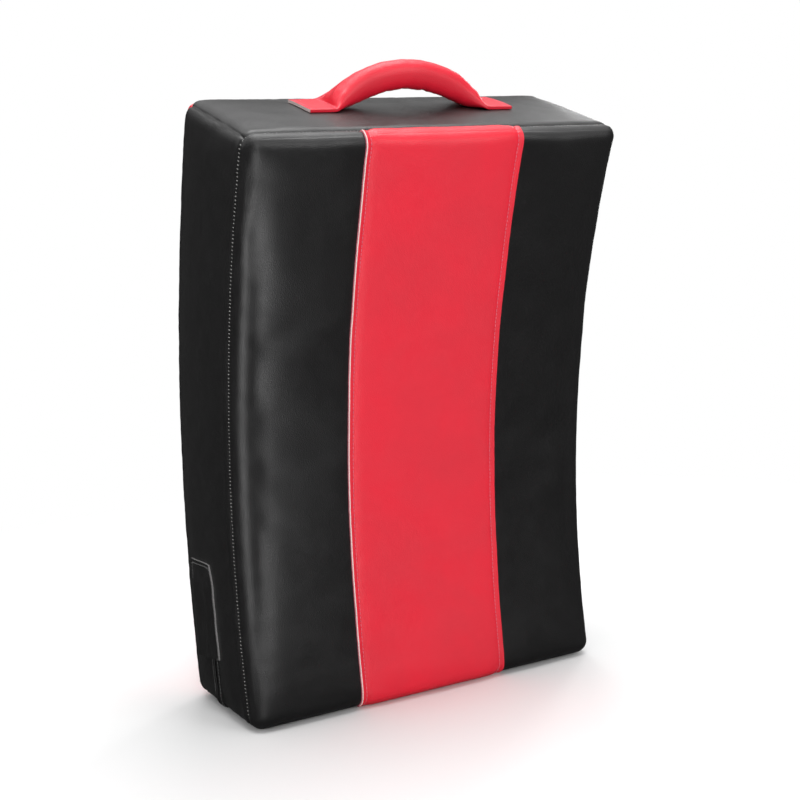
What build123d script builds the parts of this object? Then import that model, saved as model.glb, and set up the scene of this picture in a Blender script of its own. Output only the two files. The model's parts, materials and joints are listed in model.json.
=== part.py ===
from build123d import *
from math import cos, degrees, radians, sin, sqrt, tan
import os

# Curved kick and strike shield for martial arts training: a leather cover over
# three foam layers, four padded carry handles, and a zip round the lower end.
#
# Every part is drawn in a drawing frame first: X across the shield, Y from the
# strike face towards the back, Z along the shield, with the middle of the
# strike face at the origin.  The strike face is hollow and the back bulges;
# both are arcs round one line, CURVE.  stand_up() then turns the finished
# parts so that the lower end lies flat on the floor, at Z = 0.

# ---- whole shield ----
HEIGHT = 610.0          # along the back, between the end seams
WIDTH = 400.0
THICKNESS = 156.0
FRONT_RADIUS = 1000.0   # hollow of the strike face
END_TILT = 9.0          # degrees; the ends slope up from front to back
EDGE_ROUND = 15.0       # rounding of the long edges, and depth of the front side seams
BACK_SEAM = 7.5         # side seams of the back, half way round its edges

# ---- cover ----
LEATHER = 1.5
SEAM_GAP = 0.3
FRONT_STRIPE = 168.0    # width of the middle panel of the strike face
BACK_STRIPE = 162.0
LAP = 9.0               # how far a middle panel lies over its neighbours
STITCH_INSET = 5.5      # stitch row, measured from the lapped edge
THREAD_WIDTH = 0.9
THREAD_HEIGHT = 0.5
THREAD_GAP = 0.05

# ---- foam ----
FOAM_INSET = 3.4
FOAM_BEVEL = 11.0       # on the edges of its two ends
STRIKE_LAYER = 30.0
BACK_LAYER = 24.0
LAYER_GAP = 0.2

# ---- zip ----
ZIP_TOP_ANGLE = 8.8     # degrees below the middle, seen from CURVE
ZIP_END_ANGLE = 15.8
ZIP_DEPTH = 87.0        # its line on the side, behind the strike face
ZIP_SLOT = 10.0
TAPE_WIDTH = 15.0
TAPE_DEPTH = (1.8, 2.4)     # inner and outer faces, measured in from the cover
COIL_WIDTH = 1.6
COIL_DEPTH = (0.2, 1.75)
COIL_GAP = 1.0
TAPE_START = -6.0           # along the zip, from its closed end
END_STOP = (3.0, 6.0)
COIL_START = 7.0
ZIP_RELIEF = 6.0            # depth of the groove in the foam behind the zip
RELIEF_WIDTH = 38.0
SLIDER_LENGTH = 11.0
SLIDER_WIDTH = 5.2
SLIDER_PLATE = 1.2
SLIDER_PLAY = 0.2           # round the coils and tapes
SLIDER_NECK = 5.0           # length of the web between the coils
BAIL_LENGTH = 3.0
BAIL_WALL = 0.8
BAIL_CAP = 1.6              # of the bail over the pin's middle
SLIDER_PLACE = 34.0         # from the closed end of the zip
PULL_LENGTH = 24.0
PULL_WIDTH = 4.8
PULL_NECK = (3.0, 4.0)      # width, and length up to the full width
PULL_THICKNESS = 1.0
PULL_EYE = 1.3              # radius
PIN_RADIUS = 0.6
PIN_CLEARANCE = 0.06
PIVOT_HEIGHT = 2.65         # the pull's pin, above the cover
GARAGE_LENGTH = 96.0
GARAGE_WIDTH = 58.0
GARAGE_RISE = 7.0
GARAGE_OVERHANG = 20.0      # past the closed end of the zip
GARAGE_SHIFT = 8.0          # towards the back
GARAGE_HEM = 8.0            # solid part above the closed end
ZIP_STITCH = 3.0            # stitch rows, from the slot and from the pocket's edges

# ---- handles ----
STRAP_WIDTH = 50.0
TAB_LENGTH = 29.0
TAB_THICKNESS = 3.2
HANDLE_LENGTH = 220.0
SIDE_HANDLE_LENGTH = 204.0
CROSS_HANDLE_PLACE = 213.0  # above the middle, along the back
SIDE_HANDLE_X = 150.0
TOP_HANDLE_PLACE = 48.0     # behind the strike face
HINGE_HEIGHT = 7.0
HINGE_GAP = 1.0             # between a sewn end and the roll
GRIP_RISE = 24.0
GRIP_RADIUS = 15.0
GRIP_END_RADIUS = 3.5
GRIP_SHAPE = (2.4, 4.0)     # how soon the arch and the roll reach full size
HOLLOW_REACH = 0.88         # share of the grip that is hollow
PADDING_REACH = 0.84
PADDING_GAP = 0.2
FOLD_SLIT = 0.4
SLIT_REACH = 0.3            # share of the roll's length, each way
BACKING_SIZE = (38.0, 58.0)
BACKING_THICKNESS = 1.0
BACKING_GAP = 0.5
BOX_STITCH = (19.0, 40.0)

BACK_RADIUS = FRONT_RADIUS + THICKNESS
CURVE = Axis((0, -FRONT_RADIUS, 0), (1, 0, 0))
SWEEP = 44.0                # degrees, longer than the shield; the ends are cut
FAR = 600.0                 # longer than any part, for cutting blocks
END_SLOPE = tan(radians(END_TILT))
SEAM_Y = sqrt((BACK_RADIUS - EDGE_ROUND) ** 2 - (HEIGHT / 2) ** 2) - FRONT_RADIUS


# ---------------------------------------------------------------- shared shapes
def end_height(y):
    """Height of the top end face above the middle, at depth y."""
    return HEIGHT / 2 + (y - SEAM_Y) * END_SLOPE


def end_depth(radius):
    """Depth at which the end faces meet an arc of this radius about CURVE."""
    level = end_height(0)
    a = 1 + END_SLOPE**2
    b = FRONT_RADIUS + level * END_SLOPE
    c = FRONT_RADIUS**2 + level**2 - radius**2
    return (sqrt(b * b - a * c) - b) / a


def on_curve(radius, angle):
    """Depth and height of a point at this radius and angle from the curve's axis."""
    return radius * cos(radians(angle)) - FRONT_RADIUS, radius * sin(radians(angle))


def end_block(inset):
    """Everything between the two end faces, brought in by inset."""
    drop = inset / cos(radians(END_TILT))
    front, back = end_height(-FAR) - drop, end_height(FAR) - drop
    outline = Polyline((-FAR, -front), (FAR, -back), (FAR, back), (-FAR, front), close=True)
    return extrude(Plane.YZ * make_face(outline), FAR, both=True)


def box_between(low, high):
    """Box from its lowest to its highest corner."""
    size = [b - a for a, b in zip(low, high)]
    middle = [(a + b) / 2 for a, b in zip(low, high)]
    return Pos(*middle) * Box(*size)


def section(x0, x1, y0, y1):
    """Rectangle of the cross-section: x across, y in from the strike face."""
    return Pos((x0 + x1) / 2, (y0 + y1) / 2) * Rectangle(x1 - x0, y1 - y0)


def body_section(inset):
    """Cross-section of the whole shield with its rounded long edges."""
    size = (WIDTH - 2 * inset, THICKNESS - 2 * inset)
    return Pos(0, THICKNESS / 2) * RectangleRounded(*size, EDGE_ROUND - inset)


def bent(flat):
    """A cross-section carried round the curve."""
    return revolve(flat.rotate(CURVE, -SWEEP / 2), axis=CURVE, revolution_arc=SWEEP)


def both_sides(shape):
    """The shape and its mirror image across the shield."""
    return [shape, mirror(shape, about=Plane.YZ)]


# ---------------------------------------------------------------- cover panels
def cover_panels():
    skin = body_section(0) - body_section(LEATHER)
    half = WIDTH / 2
    whole = end_block(0)
    front = skin & section(-half, LAP - FRONT_STRIPE / 2, 0, EDGE_ROUND)
    back = skin & section(-half, LAP - BACK_STRIPE / 2, THICKNESS - BACK_SEAM, THICKNESS)
    side_edges = (EDGE_ROUND + SEAM_GAP, THICKNESS - BACK_SEAM - SEAM_GAP)
    side = skin & section(-half, -half / 2, *side_edges)
    front_middle = section(-FRONT_STRIPE / 2, FRONT_STRIPE / 2, -LEATHER - THREAD_GAP, -THREAD_GAP)
    back_middle = section(
        -BACK_STRIPE / 2, BACK_STRIPE / 2, THICKNESS + THREAD_GAP, THICKNESS + THREAD_GAP + LEATHER
    )
    parts = {}
    for name, flat in (("front_panel", front), ("back_panel", back), ("side_panel", side)):
        left, right = both_sides(bent(flat) & whole)
        parts[name + "_left"] = left
        parts[name + "_right"] = right
    parts["front_panel_middle"] = bent(front_middle) & whole
    parts["back_panel_middle"] = bent(back_middle) & whole
    caps = (bent(body_section(LEATHER + SEAM_GAP)) & whole) - end_block(LEATHER)
    bottom, top = caps.solids().sort_by(Axis.Z)
    parts["top_panel"] = top
    opening = (-ZIP_SLOT / 2, ZIP_SLOT / 2, -ZIP_RELIEF, ZIP_RELIEF)
    halves = bottom - zip_box("bottom", -FAR, FAR, *opening)
    bottom_front, bottom_back = halves.solids().sort_by(Axis.Y)
    parts["bottom_panel_front"] = bottom_front
    parts["bottom_panel_back"] = bottom_back
    for name in ("left", "right"):
        parts["side_panel_" + name] -= zip_box(name, 0, FAR, *opening)
    return parts


def bevelled_ends(block):
    """Cut the four edges of each end face at 45 degrees."""
    tilt = radians(END_TILT)
    along = Vector(0, cos(tilt), sin(tilt))
    outward = Vector(0, -sin(tilt), cos(tilt))
    reach = WIDTH / 2 - FOAM_INSET
    front = end_depth(FRONT_RADIUS + FOAM_INSET)
    back = end_depth(BACK_RADIUS - FOAM_INSET)
    edges = [((0, front), -along), ((0, back), along)]
    edges += [((side * reach, front), Vector(side, 0, 0)) for side in (-1, 1)]
    for (x, y), sideways in edges:
        edge = Vector(x, y, end_height(y)) - outward * (FOAM_INSET + FOAM_BEVEL)
        face = Plane(edge, z_dir=outward + sideways)
        beyond = face.location * Pos(0, 0, FAR) * Box(2 * FAR, 2 * FAR, 2 * FAR)
        block = block - beyond - mirror(beyond, about=Plane.XY)
    return block


def foam_layers():
    block = bent(body_section(FOAM_INSET)) & end_block(FOAM_INSET)
    block = bevelled_ends(block)
    groove = (-RELIEF_WIDTH / 2, RELIEF_WIDTH / 2, -ZIP_RELIEF, ZIP_RELIEF)
    for name, start in (("left", TAPE_START - 4), ("right", TAPE_START - 4), ("bottom", -FAR)):
        block -= zip_box(name, start, FAR, *groove)
    front_edge = STRIKE_LAYER
    back_edge = THICKNESS - BACK_LAYER
    depths = {
        "strike_foam": (0, front_edge - LAYER_GAP),
        "core_foam": (front_edge, back_edge),
        "back_foam": (back_edge + LAYER_GAP, THICKNESS),
    }
    return {name: block & bent(section(-FAR, FAR, *depth)) for name, depth in depths.items()}


# ---------------------------------------------------------------- zip
def zip_planes():
    """Drawing planes of the zip: x along it, z out of the cover."""
    top_y, top_z = on_curve(FRONT_RADIUS + ZIP_DEPTH, -ZIP_TOP_ANGLE)
    end_y, end_z = on_curve(FRONT_RADIUS + ZIP_DEPTH, -ZIP_END_ANGLE)
    planes = {}
    for name, side in (("left", -1), ("right", 1)):
        planes[name] = Plane(
            (side * WIDTH / 2, top_y, top_z), x_dir=(0, end_y - top_y, end_z - top_z), z_dir=(side, 0, 0)
        )
    tilt = radians(END_TILT)
    planes["bottom"] = Plane(
        (0, end_y, -end_height(end_y)), x_dir=(1, 0, 0), z_dir=(0, -sin(tilt), -cos(tilt))
    )
    return planes


ZIP = zip_planes()
TO_FRONT = {"left": 1, "right": -1, "bottom": 1}    # which way y runs on each plane


def zip_box(name, x0, x1, y0, y1, z0, z1):
    """Box on one zip plane; y is counted towards the strike face."""
    y0, y1 = sorted((TO_FRONT[name] * y0, TO_FRONT[name] * y1))
    return ZIP[name].location * box_between((x0, y0, z0), (x1, y1, z1))


def zip_strip(y0, y1, depth, start):
    """Strip that runs down one side, across the lower end and up the other side."""
    outer, inner = depth
    strip = zip_box("left", start, FAR, y0, y1, -inner, -outer)
    strip += zip_box("right", start, FAR, y0, y1, -inner, -outer)
    strip &= end_block(outer)
    across = zip_box("bottom", -FAR, FAR, y0, y1, -inner, -outer)
    reach = WIDTH / 2 - outer
    across &= box_between((-reach, -FAR, -FAR), (reach, FAR, FAR))
    return strip + across


def zip_parts():
    edge = COIL_GAP / 2
    parts = {}
    for name, side in (("front", 1), ("back", -1)):
        coil = sorted((side * edge, side * (edge + COIL_WIDTH)))
        tape = sorted((side * edge, side * (edge + TAPE_WIDTH)))
        parts["zip_tape_" + name] = zip_strip(*tape, TAPE_DEPTH, TAPE_START)
        parts["zip_coil_" + name] = zip_strip(*coil, COIL_DEPTH, COIL_START)
    stops = Part()
    for name in ("left", "right"):
        stops += zip_box(name, *END_STOP, -edge - COIL_WIDTH, edge + COIL_WIDTH, -COIL_DEPTH[1], 0)
    parts["zip_end_stops"] = stops
    parts["zip_slider"] = slider()
    parts["zip_pull"] = pull()
    parts["zip_garage"] = garage()
    return parts


def slider():
    """Two plates either side of the coils, joined by a thin web, with a bail and pin on top."""
    start, end = SLIDER_PLACE, SLIDER_PLACE + SLIDER_LENGTH
    middle = (start + end) / 2
    half = SLIDER_WIDTH / 2
    web = COIL_GAP / 2 - SLIDER_PLAY
    under = TAPE_DEPTH[1] + SLIDER_PLAY
    neck = SLIDER_NECK / 2
    sunk = SLIDER_PLATE / 2
    body = zip_box("left", start, end, -half, half, 0, SLIDER_PLATE)
    body += zip_box("left", start, end, -half, half, -under - SLIDER_PLATE, -under)
    body += zip_box("left", middle - neck, middle + neck, -web, web, -under - sunk, sunk)
    for y in (-half, half - BAIL_WALL):
        body += zip_box(
            "left", middle - BAIL_LENGTH / 2, middle + BAIL_LENGTH / 2, y, y + BAIL_WALL,
            sunk, PIVOT_HEIGHT + BAIL_CAP
        )
    return body + at_pin() * Cylinder(PIN_RADIUS, SLIDER_WIDTH)


def at_pin():
    """Where the pull turns: the middle of the bail's pin, with z along the pin."""
    middle = SLIDER_PLACE + SLIDER_LENGTH / 2
    return ZIP["left"].location * Pos(middle, 0, PIVOT_HEIGHT) * Rot(90, 0, 0)


def pull():
    """Tongue with an eye that turns on the bail's pin."""
    start = SLIDER_PLACE + SLIDER_LENGTH / 2
    end = start + PULL_LENGTH
    low = PIVOT_HEIGHT + THREAD_GAP
    high = low + PULL_THICKNESS
    neck, shoulder = PULL_NECK
    tongue = zip_box("left", start, end, -neck / 2, neck / 2, low, high)
    tongue += zip_box("left", start + shoulder, end, -PULL_WIDTH / 2, PULL_WIDTH / 2, low, high)
    eye = at_pin() * Cylinder(PULL_EYE, neck)
    return tongue + eye - at_pin() * Cylinder(PIN_RADIUS + PIN_CLEARANCE, 2 * neck)


def garage():
    """Pocket over the closed end of the zip: sewn on three sides, open below."""
    x0 = -GARAGE_OVERHANG
    x1 = x0 + GARAGE_LENGTH
    y0, y1 = -GARAGE_WIDTH / 2 - GARAGE_SHIFT, GARAGE_WIDTH / 2 - GARAGE_SHIFT
    wall = LEATHER
    pocket = zip_box("left", x0, x1, y0, y1, THREAD_GAP, GARAGE_RISE)
    room = zip_box("left", x0 + GARAGE_HEM, FAR, y0 + wall, y1 - wall, -FAR, GARAGE_RISE - wall)
    return pocket - room


# ---------------------------------------------------------------- handles
def back_plane(x, arc, lift):
    """Plane on the back: x across, z out; arc is the way up from the middle."""
    angle = degrees(arc / BACK_RADIUS)
    y, z = on_curve(BACK_RADIUS + lift, angle)
    return Plane((x, y, z), x_dir=(1, 0, 0), z_dir=(0, cos(radians(angle)), sin(radians(angle))))


def side_handle_plane(x, arc, lift):
    """The same plane with its x along the shield, for the two upright handles."""
    flat = back_plane(x, arc, lift)
    return Plane(flat.origin, x_dir=-flat.y_dir, z_dir=flat.z_dir)


def top_plane(x, lift):
    """Plane on the top end, z out."""
    tilt = radians(END_TILT)
    y = TOP_HANDLE_PLACE - lift * sin(tilt)
    z = end_height(TOP_HANDLE_PLACE) + lift * cos(tilt)
    return Plane((x, y, z), x_dir=(1, 0, 0), z_dir=(0, -sin(tilt), cos(tilt)))


def tab_planes(name, lift):
    """Planes at the middle of a handle's two sewn ends, with x along the handle."""
    reach = (HANDLE_LENGTH - TAB_LENGTH) / 2
    side_reach = (SIDE_HANDLE_LENGTH - TAB_LENGTH) / 2
    if name == "top_handle":
        return [top_plane(side * reach, lift) for side in (-1, 1)]
    if name == "cross_handle":
        return [back_plane(side * reach, CROSS_HANDLE_PLACE, lift) for side in (-1, 1)]
    x = SIDE_HANDLE_X if name == "right_handle" else -SIDE_HANDLE_X
    return [side_handle_plane(x, side * side_reach, lift) for side in (-1, 1)]


def hinge_line(name):
    """Where a handle swings: the line between the inner edges of its sewn ends."""
    low, high = tab_planes(name, HINGE_HEIGHT)
    ends = [
        low.from_local_coords(Vector(TAB_LENGTH / 2, 0, 0)),
        high.from_local_coords(Vector(-TAB_LENGTH / 2, 0, 0)),
    ]
    outward = low.z_dir + high.z_dir
    along = ends[1] - ends[0]
    middle = (ends[0] + ends[1]) / 2
    return Plane(middle, x_dir=along, z_dir=outward), along.length


def roll(plane, length, shrink, reach):
    """Padded roll: circles strung along an arch, thin at its ends."""
    arch, fullness = GRIP_SHAPE
    half = length / 2 - HINGE_GAP
    places = [reach * step for step in (-1, -0.93, -0.8, -0.6, -0.3, 0, 0.3, 0.6, 0.8, 0.93, 1)]
    rings = []
    for place in places:
        rise = GRIP_RISE * (1 - abs(place) ** arch)
        slope = -GRIP_RISE * arch * abs(place) ** (arch - 1) * (1 if place > 0 else -1) / half
        grow = (GRIP_RADIUS - GRIP_END_RADIUS) * (1 - abs(place) ** fullness)
        ring = Plane((place * half, 0, rise), x_dir=(0, 1, 0), z_dir=(1, 0, slope))
        rings.append(plane.location * (ring * Circle(GRIP_END_RADIUS + grow - shrink)))
    return loft(rings)


def handle_parts(name):
    plane, length = hinge_line(name)
    ends = ("left", "right") if name in ("top_handle", "cross_handle") else ("lower", "upper")
    lift = 3 * THREAD_GAP if name == "cross_handle" else THREAD_GAP
    parts = {}
    for end, place in zip(ends, tab_planes(name, lift)):
        tab = Pos(0, 0, TAB_THICKNESS / 2) * Box(TAB_LENGTH, STRAP_WIDTH, TAB_THICKNESS)
        parts[f"{name}_tab_{end}"] = place.location * tab
    sleeve = roll(plane, length, 0, 1) - roll(plane, length, LEATHER, HOLLOW_REACH)
    slit_reach = length * SLIT_REACH
    sleeve -= plane.location * box_between(
        (-slit_reach, -FOLD_SLIT / 2, -GRIP_RADIUS),
        (slit_reach, FOLD_SLIT / 2, GRIP_RISE - GRIP_RADIUS / 2),
    )
    parts[name + "_sleeve"] = sleeve
    parts[name + "_padding"] = roll(plane, length, LEATHER + PADDING_GAP, PADDING_REACH)
    backing = Part()
    stitching = Part()
    patch = Pos(0, 0, BACKING_THICKNESS / 2) * Box(*BACKING_SIZE, BACKING_THICKNESS)
    for place in tab_planes(name, -LEATHER - BACKING_GAP - BACKING_THICKNESS):
        backing += place.location * patch
    ring = Rectangle(*BOX_STITCH) - Rectangle(*(side - 2 * THREAD_WIDTH for side in BOX_STITCH))
    for place in tab_planes(name, lift + TAB_THICKNESS + THREAD_GAP):
        stitching += place.location * extrude(ring, THREAD_HEIGHT)
    parts[name + "_backing"] = backing
    parts[name + "_stitching"] = stitching
    return parts


# ---------------------------------------------------------------- stitching
def stripe_thread(width, y0):
    """The two stitch rows of a lapped middle panel."""
    x = width / 2 - STITCH_INSET
    row = section(x - THREAD_WIDTH / 2, x + THREAD_WIDTH / 2, y0, y0 + THREAD_HEIGHT)
    left, right = both_sides(bent(row) & end_block(EDGE_ROUND / 2))
    return left + right


def seam_thread(depth):
    """Rows that close the long side seams, just inside each side panel's edge."""
    x = WIDTH / 2 + THREAD_GAP
    row = section(x, x + THREAD_HEIGHT, depth - THREAD_WIDTH / 2, depth + THREAD_WIDTH / 2)
    left, right = both_sides(bent(row) & end_block(EDGE_ROUND / 2))
    return left + right


def zip_thread():
    """Rows beside the zip on each side, joined by a bar at its closed end."""
    low, high = THREAD_GAP, THREAD_GAP + THREAD_HEIGHT
    offset = ZIP_SLOT / 2 + ZIP_STITCH
    below_garage = GARAGE_LENGTH - GARAGE_OVERHANG + ZIP_STITCH
    rows = Part()
    for name, start in (("left", below_garage), ("right", -ZIP_STITCH)):
        for y in (-offset, offset):
            rows += zip_box(name, start, FAR, y - THREAD_WIDTH / 2, y + THREAD_WIDTH / 2, low, high)
    rows += zip_box("right", -ZIP_STITCH, THREAD_WIDTH - ZIP_STITCH, -offset, offset, low, high)
    return rows & end_block(EDGE_ROUND / 2)


def garage_thread():
    """Stitch row on the pocket: down both long edges and along the closed end."""
    x0 = ZIP_STITCH - GARAGE_OVERHANG
    x1 = GARAGE_LENGTH - GARAGE_OVERHANG - ZIP_STITCH
    y0 = ZIP_STITCH - GARAGE_WIDTH / 2 - GARAGE_SHIFT
    y1 = GARAGE_WIDTH / 2 - GARAGE_SHIFT - ZIP_STITCH
    low, high = GARAGE_RISE + THREAD_GAP, GARAGE_RISE + THREAD_GAP + THREAD_HEIGHT
    row = zip_box("left", x0, x1, y0, y1, low, high)
    inside = zip_box(
        "left", x0 + THREAD_WIDTH, x1 + 1, y0 + THREAD_WIDTH, y1 - THREAD_WIDTH, low - 1, high + 1
    )
    return row - inside


# ---------------------------------------------------------------- the whole shield
def stand_up(shape):
    """Turn a finished part so that the lower end lies flat at Z = 0."""
    return STAND * shape


foot_y = (end_depth(FRONT_RADIUS) + end_depth(BACK_RADIUS)) / 2
foot = Location((0, foot_y, -end_height(foot_y)))
STAND = Rot(END_TILT, 0, 0) * foot.inverse()

parts = cover_panels() | foam_layers() | zip_parts()
HANDLES = ("top_handle", "cross_handle", "left_handle", "right_handle")
for handle in HANDLES:
    parts |= handle_parts(handle)
parts["front_stripe_thread"] = stripe_thread(FRONT_STRIPE, -LEATHER - 2 * THREAD_GAP - THREAD_HEIGHT)
parts["back_stripe_thread"] = stripe_thread(BACK_STRIPE, THICKNESS + LEATHER + 2 * THREAD_GAP)
parts["front_seam_thread"] = seam_thread(EDGE_ROUND + STITCH_INSET / 2)
parts["back_seam_thread"] = seam_thread(THICKNESS - EDGE_ROUND - STITCH_INSET / 2)
parts["zip_thread"] = zip_thread()
parts["garage_thread"] = garage_thread()

os.makedirs("parts", exist_ok=True)
for node, shape in parts.items():
    export_step(stand_up(shape), f"parts/{node}.step")

# Joint axes of the finished shield, in millimetres.
for handle in HANDLES:
    swing = Plane(STAND * hinge_line(handle)[0].location)
    print(handle, list(swing.origin), list(swing.x_dir), list(swing.z_dir))
slide = Plane(STAND * ZIP["left"].location)
pin = slide.from_local_coords(Vector(SLIDER_PLACE + SLIDER_LENGTH / 2, 0, PIVOT_HEIGHT))
print("zip_slider", list(slide.x_dir))
print("zip_pull", list(pin), list(slide.y_dir))
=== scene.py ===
import json
import math

import bpy
import numpy as np
from mathutils import Matrix, Vector, noise
from mathutils.bvhtree import BVHTree


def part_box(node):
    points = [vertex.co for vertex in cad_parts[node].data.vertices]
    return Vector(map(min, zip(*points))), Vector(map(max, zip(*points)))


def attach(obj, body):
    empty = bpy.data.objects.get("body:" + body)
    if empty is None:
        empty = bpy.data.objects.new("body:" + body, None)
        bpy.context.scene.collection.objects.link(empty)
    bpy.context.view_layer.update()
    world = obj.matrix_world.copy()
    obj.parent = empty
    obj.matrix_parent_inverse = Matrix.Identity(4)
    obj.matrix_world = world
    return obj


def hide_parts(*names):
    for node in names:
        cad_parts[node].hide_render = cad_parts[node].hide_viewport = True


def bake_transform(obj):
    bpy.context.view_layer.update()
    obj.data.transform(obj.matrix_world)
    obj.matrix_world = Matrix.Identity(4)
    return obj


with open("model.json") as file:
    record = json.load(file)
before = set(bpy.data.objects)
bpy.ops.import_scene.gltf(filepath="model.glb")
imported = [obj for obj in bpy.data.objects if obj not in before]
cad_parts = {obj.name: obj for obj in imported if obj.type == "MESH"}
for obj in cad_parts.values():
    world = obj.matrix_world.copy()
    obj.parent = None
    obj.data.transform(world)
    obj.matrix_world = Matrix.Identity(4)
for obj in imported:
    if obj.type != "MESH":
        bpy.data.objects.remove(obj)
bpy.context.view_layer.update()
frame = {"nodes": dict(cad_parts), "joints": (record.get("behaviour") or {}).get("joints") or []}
MM = 0.001

# ---- the cover, from the frame where it states a size ----
joints = {joint["name"]: joint for joint in frame["joints"]}
upright = Vector(joints["left_handle_swing"]["axis"])
TILT = math.atan2(-upright.y, upright.z)
WIDTH = 2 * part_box("side_panel_right")[1].x
FRONT_STRIPE = 2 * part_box("front_panel_middle")[1].x
BACK_STRIPE = 2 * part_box("back_panel_middle")[1].x
HEIGHT = 610 * MM           # along the back, between the end seams
THICKNESS = 156 * MM
FRONT_RADIUS = 1000 * MM
EDGE = THICKNESS / 10       # rounding of all edges, and depth of the strike face's seam
BACK_SEAM = THICKNESS - EDGE / 2
LAP = 9 * MM
ZIP_DEPTH = 87 * MM
ZIP_TOP_ANGLE, ZIP_END_ANGLE = 8.8, 15.8        # degrees below the middle, about the front's centre
SLOT = 3.0 * MM             # half width of the opening over the zip
LEATHER = 1.6 * MM
RAISED = 1.9 * MM           # how far a lapped panel stands over its neighbours
STITCH_INSET = 5.5 * MM

# ---- the padding's puff ----
SIM_STEPS = 20              # cells across the thickness in the simulated cover
SIM_FRAMES = 22
PUFF_CAP = 6.5 * MM

BACK_RADIUS = FRONT_RADIUS + THICKNESS
SLOPE = math.tan(TILT)
SEAM_DEPTH = math.sqrt((BACK_RADIUS - 15 * MM) ** 2 - (HEIGHT / 2) ** 2) - FRONT_RADIUS


# ---------------------------------------------------------------- curve of the shield
def end_height(depth):
    """Height of the top end face above the middle of the shield, before it is stood up."""
    return HEIGHT / 2 + (depth - SEAM_DEPTH) * SLOPE


def end_depth(radius):
    """Depth at which the end faces meet an arc of this radius."""
    level = end_height(0)
    a = 1 + SLOPE**2
    b = FRONT_RADIUS + level * SLOPE
    c = FRONT_RADIUS**2 + level**2 - radius**2
    return (np.sqrt(b * b - a * c) - b) / a


def end_angle(radius):
    return np.arcsin(end_height(end_depth(radius)) / radius)


FOOT = (end_depth(FRONT_RADIUS) + end_depth(BACK_RADIUS)) / 2
MIDDLE_RADIUS = FRONT_RADIUS + THICKNESS / 2
HALF = MIDDLE_RADIUS * end_angle(MIDDLE_RADIUS)     # half the length along the middle


def turn(directions):
    """Directions of the drawing frame, where the shield is upright, in the row frame."""
    x, y, z = np.moveaxis(np.asarray(directions, float), -1, 0)
    cos, sin = math.cos(TILT), math.sin(TILT)
    return np.stack([x, y * cos - z * sin, y * sin + z * cos], -1)


def stand_up(points):
    """From the drawing frame, with the strike face's middle at the origin, to the row frame."""
    return turn(np.asarray(points) - (0, FOOT, -end_height(FOOT)))


def bend(flat):
    """(across, along, depth) of the straight shield to the row frame."""
    radius = FRONT_RADIUS + flat[..., 2]
    angle = flat[..., 1] / HALF * end_angle(radius)
    y = radius * np.cos(angle) - FRONT_RADIUS
    return stand_up(np.stack([flat[..., 0], y, radius * np.sin(angle)], -1))


def soften(flat):
    """Round the edges of a sharp block, given in (across, along, depth)."""
    low = np.array((-WIDTH / 2 + EDGE, -HALF + EDGE, EDGE))
    high = np.array((WIDTH / 2 - EDGE, HALF - EDGE, THICKNESS - EDGE))
    core = np.clip(flat, low, high)
    away = flat - core
    length = np.linalg.norm(away, axis=-1, keepdims=True)
    return core + away / np.maximum(length, 1e-9) * EDGE


def zip_line():
    """The zip's straight line on the side, from its closed end to the lower end: (y, z) points."""
    ends = []
    for angle in (ZIP_TOP_ANGLE, ZIP_END_ANGLE):
        radius, a = FRONT_RADIUS + ZIP_DEPTH, -math.radians(angle)
        ends.append((radius * math.cos(a) - FRONT_RADIUS, radius * math.sin(a)))
    return np.array(ends)


def zip_depth(along):
    """Depth of the zip's straight line where it passes each place along the shield."""
    (y0, z0), (y1, z1) = zip_line()
    slope = (y1 - y0) / (z1 - z0)
    angle = np.asarray(along) / HALF * end_angle(FRONT_RADIUS + ZIP_DEPTH)
    # the line y = y0 + slope (z - z0) met by the ray at this angle
    radius = (y0 + FRONT_RADIUS - slope * z0) / (np.cos(angle) - slope * np.sin(angle))
    return radius - FRONT_RADIUS


def zip_top_along():
    (y0, z0), _ = zip_line()
    radius = math.hypot(y0 + FRONT_RADIUS, z0)
    return math.asin(z0 / radius) / end_angle(radius) * HALF


ZIP_TOP = zip_top_along()


# ---------------------------------------------------------------- lattice cover
class Lattice:
    """Closed block surface on grid lines in (across, along, depth), with labelled faces."""

    def __init__(self, xs, ss, ds):
        self.lines = (np.asarray(xs), np.asarray(ss), np.asarray(ds))
        shape = tuple(len(line) for line in self.lines)
        grid = np.stack(np.meshgrid(*self.lines, indexing="ij"), -1)
        on_surface = np.zeros(shape, bool)
        for axis in range(3):
            ends = [slice(None)] * 3
            for end in (0, -1):
                ends[axis] = end
                on_surface[tuple(ends)] = True
        self.index = np.full(shape, -1)
        self.index[on_surface] = np.arange(on_surface.sum())
        self.flat = grid[on_surface]
        self.quads, self.sides = self.make_quads()

    def make_quads(self):
        quads, sides = [], []
        for axis in range(3):
            for end in (0, -1):
                picked = [slice(None)] * 3
                picked[axis] = end
                ids = self.index[tuple(picked)]
                cell = np.stack([ids[:-1, :-1], ids[1:, :-1], ids[1:, 1:], ids[:-1, 1:]], -1).reshape(-1, 4)
                outward = (axis == 1) != (end == 0)
                quads.append(cell if outward else cell[:, ::-1])
                sides.append(np.full(len(cell), 2 * axis + (end == -1)))
        return np.concatenate(quads), np.concatenate(sides)

    def side_ids(self, side):
        picked = [slice(None)] * 3
        picked[side // 2] = -1 if side % 2 else 0
        return self.index[tuple(picked)]

    def side_lines(self, side):
        return [line for axis, line in enumerate(self.lines) if axis != side // 2]


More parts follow.
